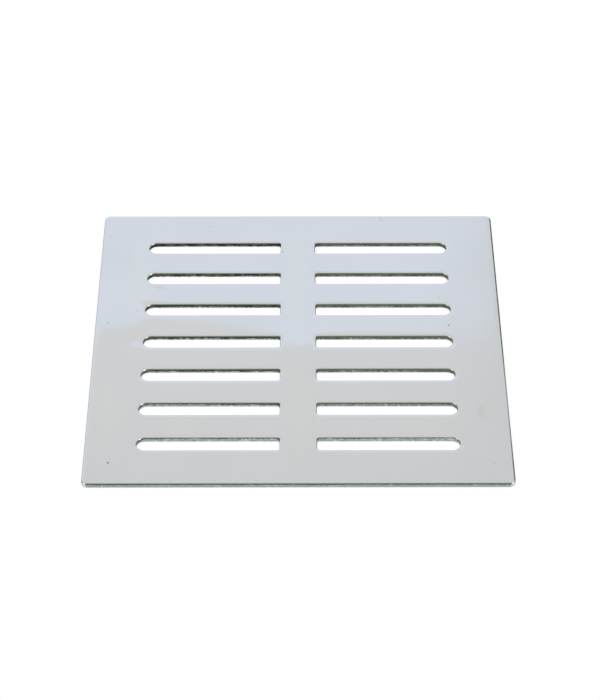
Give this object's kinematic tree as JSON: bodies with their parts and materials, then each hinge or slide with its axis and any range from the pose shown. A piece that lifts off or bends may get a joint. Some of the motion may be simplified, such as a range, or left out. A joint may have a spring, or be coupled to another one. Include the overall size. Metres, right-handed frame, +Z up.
{
  "type": "square drain grate",
  "caption": "Thin square polished-steel drain grate with two columns of long slots, each square at its inner end and round at its outer end, to lie in a floor drain's frame.",
  "frame": {"origin": "middle of the flat underside", "axes": "+Z up out of the polished face, +X along the slots, +Y across them"},
  "size_m": [0.15, 0.15, 0.0018],
  "materials": {
    "polished_steel": "mirror-polished sheet steel, with sheared slot walls and edges"
  },
  "bodies": {
    "root": {"grate_plate": "polished_steel"}
  },
  "joints": []
}
